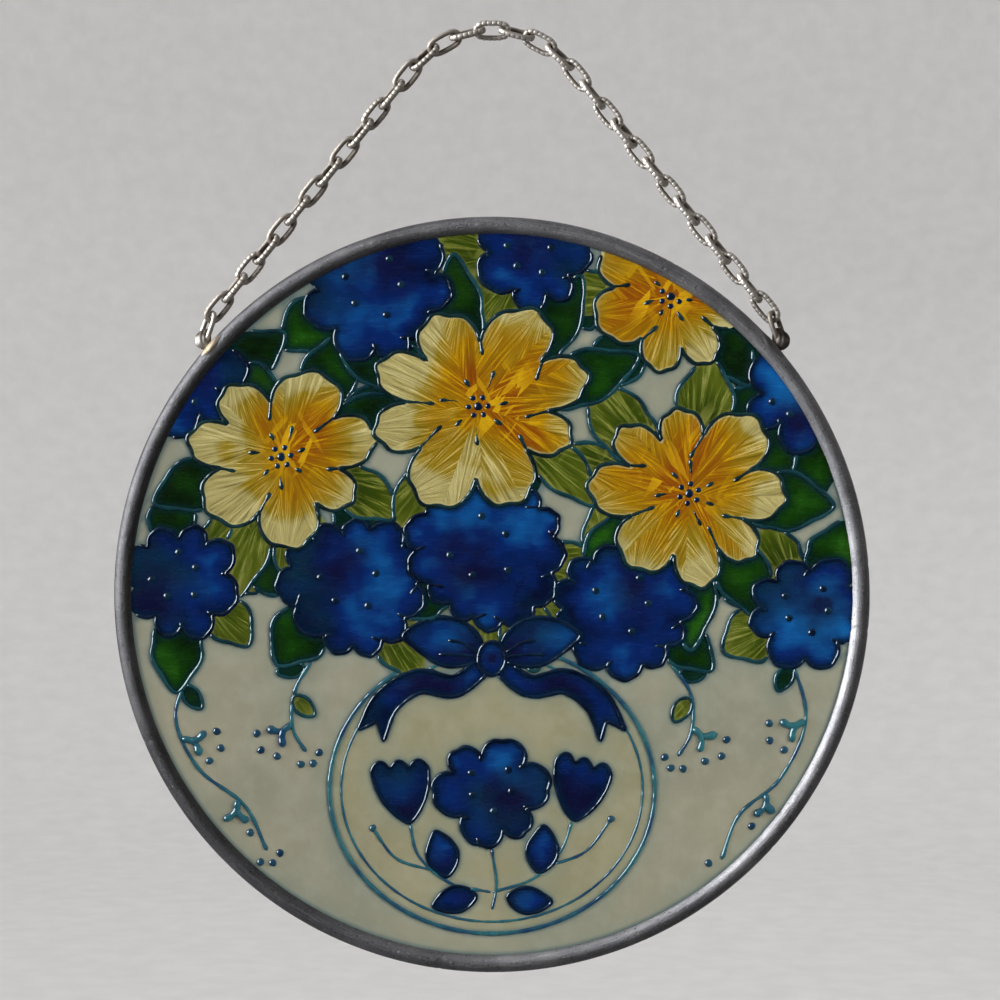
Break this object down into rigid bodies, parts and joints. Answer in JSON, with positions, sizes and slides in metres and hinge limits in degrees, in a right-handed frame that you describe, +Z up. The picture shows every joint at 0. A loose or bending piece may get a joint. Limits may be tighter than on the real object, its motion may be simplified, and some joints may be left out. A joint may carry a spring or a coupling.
{
  "type": "suncatcher",
  "caption": "Round painted-glass suncatcher: frosted disc with raised floral enamel, metal rim, two soldered eyes and a hanging chain of oval links.",
  "frame": {"origin": "the point under the top link where a peg or hook carries the suncatcher", "axes": "+Z up along the hanging line, -Y towards the viewer of the painted front, +X to the viewer's right"},
  "size_m": [0.165, 0.0053, 0.2081],
  "materials": {
    "frosted_glass": "satin frosted glass, painted on the front with raised teal outlines and glossy translucent blue, gold and green enamels",
    "rim_metal": "dark satin pewter-grey came, fine pits and small nicks",
    "chain_metal": "warm antique silver, dark tarnish in the milled notches, bright worn edges"
  },
  "bodies": {
    "root": {"glass_disc": "frosted_glass", "rim": "rim_metal", "loop_left": "chain_metal", "loop_right": "chain_metal", "link_01": "chain_metal", "link_02": "chain_metal", "link_03": "chain_metal", "link_04": "chain_metal", "link_05": "chain_metal", "link_06": "chain_metal", "link_07": "chain_metal", "link_08": "chain_metal", "link_09": "chain_metal", "link_10": "chain_metal", "link_11": "chain_metal", "link_12": "chain_metal", "link_13": "chain_metal", "link_14": "chain_metal", "link_15": "chain_metal", "link_16": "chain_metal", "link_17": "chain_metal", "link_18": "chain_metal", "link_19": "chain_metal", "link_20": "chain_metal", "link_21": "chain_metal", "link_22": "chain_metal", "link_23": "chain_metal", "link_24": "chain_metal", "link_25": "chain_metal", "link_26": "chain_metal", "link_27": "chain_metal", "link_28": "chain_metal", "link_29": "chain_metal", "link_30": "chain_metal", "link_31": "chain_metal", "link_32": "chain_metal", "link_33": "chain_metal"}
  },
  "joints": []
}
